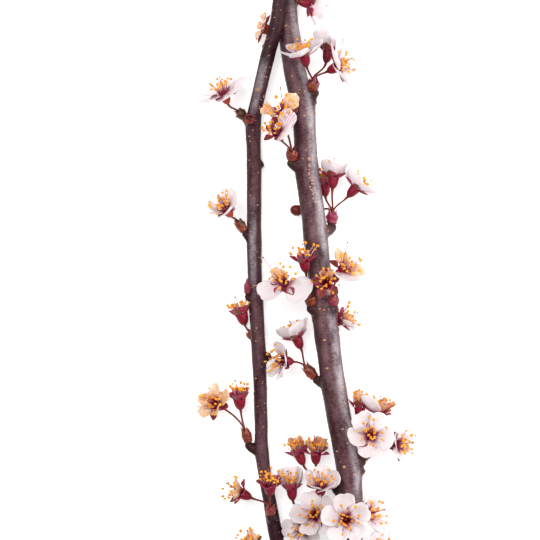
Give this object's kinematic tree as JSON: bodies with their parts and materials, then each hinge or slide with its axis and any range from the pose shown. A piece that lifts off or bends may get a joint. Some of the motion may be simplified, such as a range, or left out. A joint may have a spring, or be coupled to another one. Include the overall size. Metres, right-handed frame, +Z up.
{
  "type": "plum blossom branch",
  "caption": "Cut plum branch laid down: a forked woody stem with short spurs that carry bud scales and sprays of five-petalled white blossoms, some fresh and some withered.",
  "frame": {"origin": "middle of the branch's box, on the surface that it lies on", "axes": "+Y along the branch from its cut lower end to its tips, +Z up from the surface that it lies on, towards the side that the picture shows"},
  "size_m": [0.1118, 0.3901, 0.04],
  "materials": {
    "bark": "smooth grey-brown bark with a soft silvery sheen",
    "calyx": "soft crimson, slightly satin",
    "petal_fresh": "matt and thin, white with a breath of pink",
    "petal_withered": "matt and crumpled, tan"
  },
  "bodies": {
    "root": {"branch_wood": "bark", "bud_u": "calyx", "bud_v": "calyx", "bud_w": "calyx", "petals_a1": "petal_fresh", "petals_b1": "petal_fresh", "petals_b2": "petal_fresh", "petals_b3": "petal_fresh", "petals_c1": "petal_fresh", "petals_c2": "petal_withered", "petals_d1": "petal_fresh", "petals_d2": "petal_fresh", "petals_d3": "petal_withered", "petals_e1": "petal_fresh", "petals_f1": "petal_withered", "petals_f2": "petal_fresh", "petals_g1": "petal_fresh", "petals_h1": "petal_fresh", "petals_h2": "petal_fresh", "petals_i1": "petal_fresh", "petals_i2": "petal_fresh", "petals_i3": "petal_withered", "petals_i4": "petal_withered", "petals_j1": "petal_fresh", "petals_j2": "petal_fresh", "petals_j3": "petal_fresh", "petals_k1": "petal_fresh", "petals_k2": "petal_fresh", "petals_k3": "petal_fresh", "petals_l1": "petal_withered", "petals_l2": "petal_withered", "petals_m1": "petal_fresh", "petals_n1": "petal_withered", "petals_o1": "petal_fresh", "petals_p1": "petal_fresh", "petals_r1": "petal_withered", "petals_s2": "petal_withered", "petals_t1": "petal_withered", "spray_a": "calyx", "spray_b": "calyx", "spray_c": "calyx", "spray_d": "calyx", "spray_e": "calyx", "spray_f": "calyx", "spray_g": "calyx", "spray_h": "calyx", "spray_i": "calyx", "spray_j": "calyx", "spray_k": "calyx", "spray_l": "calyx", "spray_m": "calyx", "spray_n": "calyx", "spray_o": "calyx", "spray_p": "calyx", "spray_q": "calyx", "spray_r": "calyx", "spray_s": "calyx", "spray_t": "calyx"}
  },
  "joints": []
}
